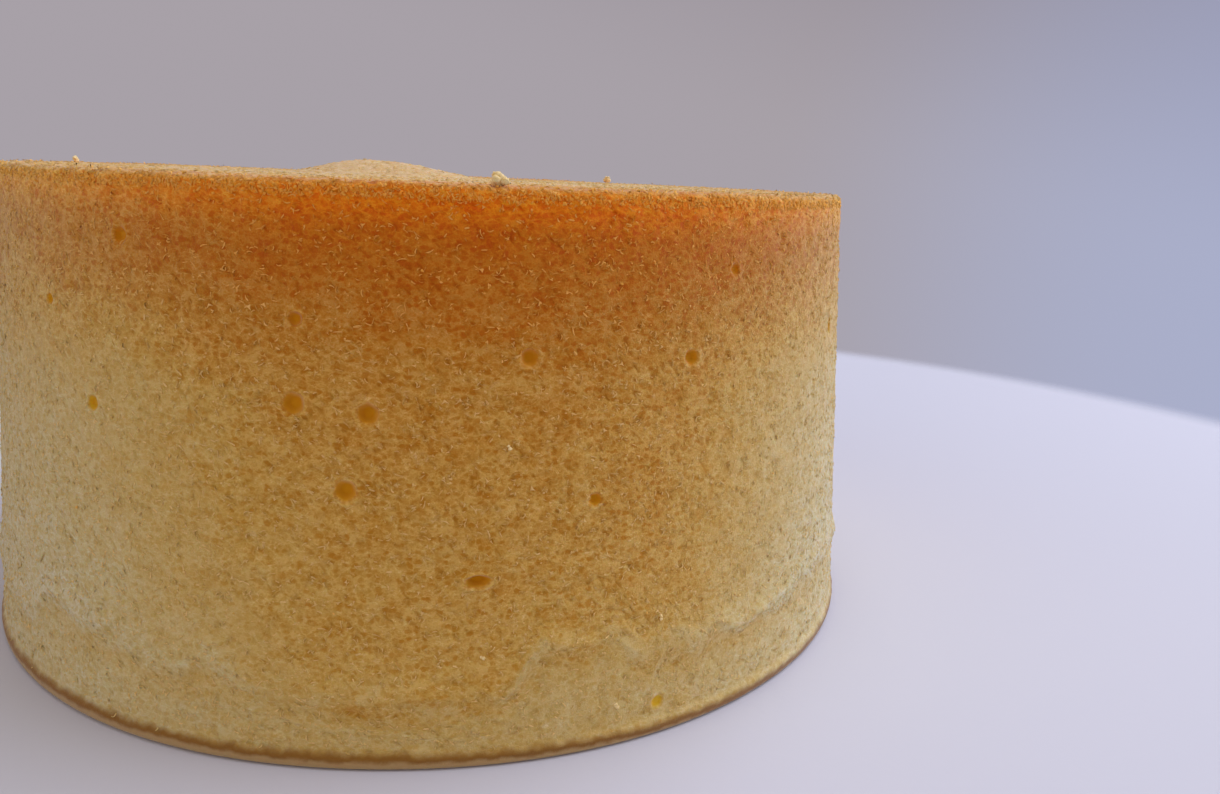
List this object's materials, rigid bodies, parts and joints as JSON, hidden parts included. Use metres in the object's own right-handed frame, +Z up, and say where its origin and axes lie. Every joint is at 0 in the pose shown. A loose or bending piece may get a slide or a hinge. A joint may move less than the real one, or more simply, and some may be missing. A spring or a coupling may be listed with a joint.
{
  "type": "chiffon cake",
  "caption": "Round uncut chiffon cake: a tall sponge tapering slightly to a flat top, with small bubble pits, a wavy crease low on its side and a thin browned crust at its base.",
  "frame": {"origin": "centre of the flat base, on the surface the cake stands on", "axes": "+Z up, the cake's short height; -Y is the front, the side that the picture shows; +X is to the right of it"},
  "size_m": [0.1548, 0.1545, 0.0759],
  "materials": {
    "sponge": "matte, fine open sponge crumb, deep golden brown near the top rim fading to pale yellow at the base"
  },
  "bodies": {
    "root": {"cake": "sponge"}
  },
  "joints": []
}
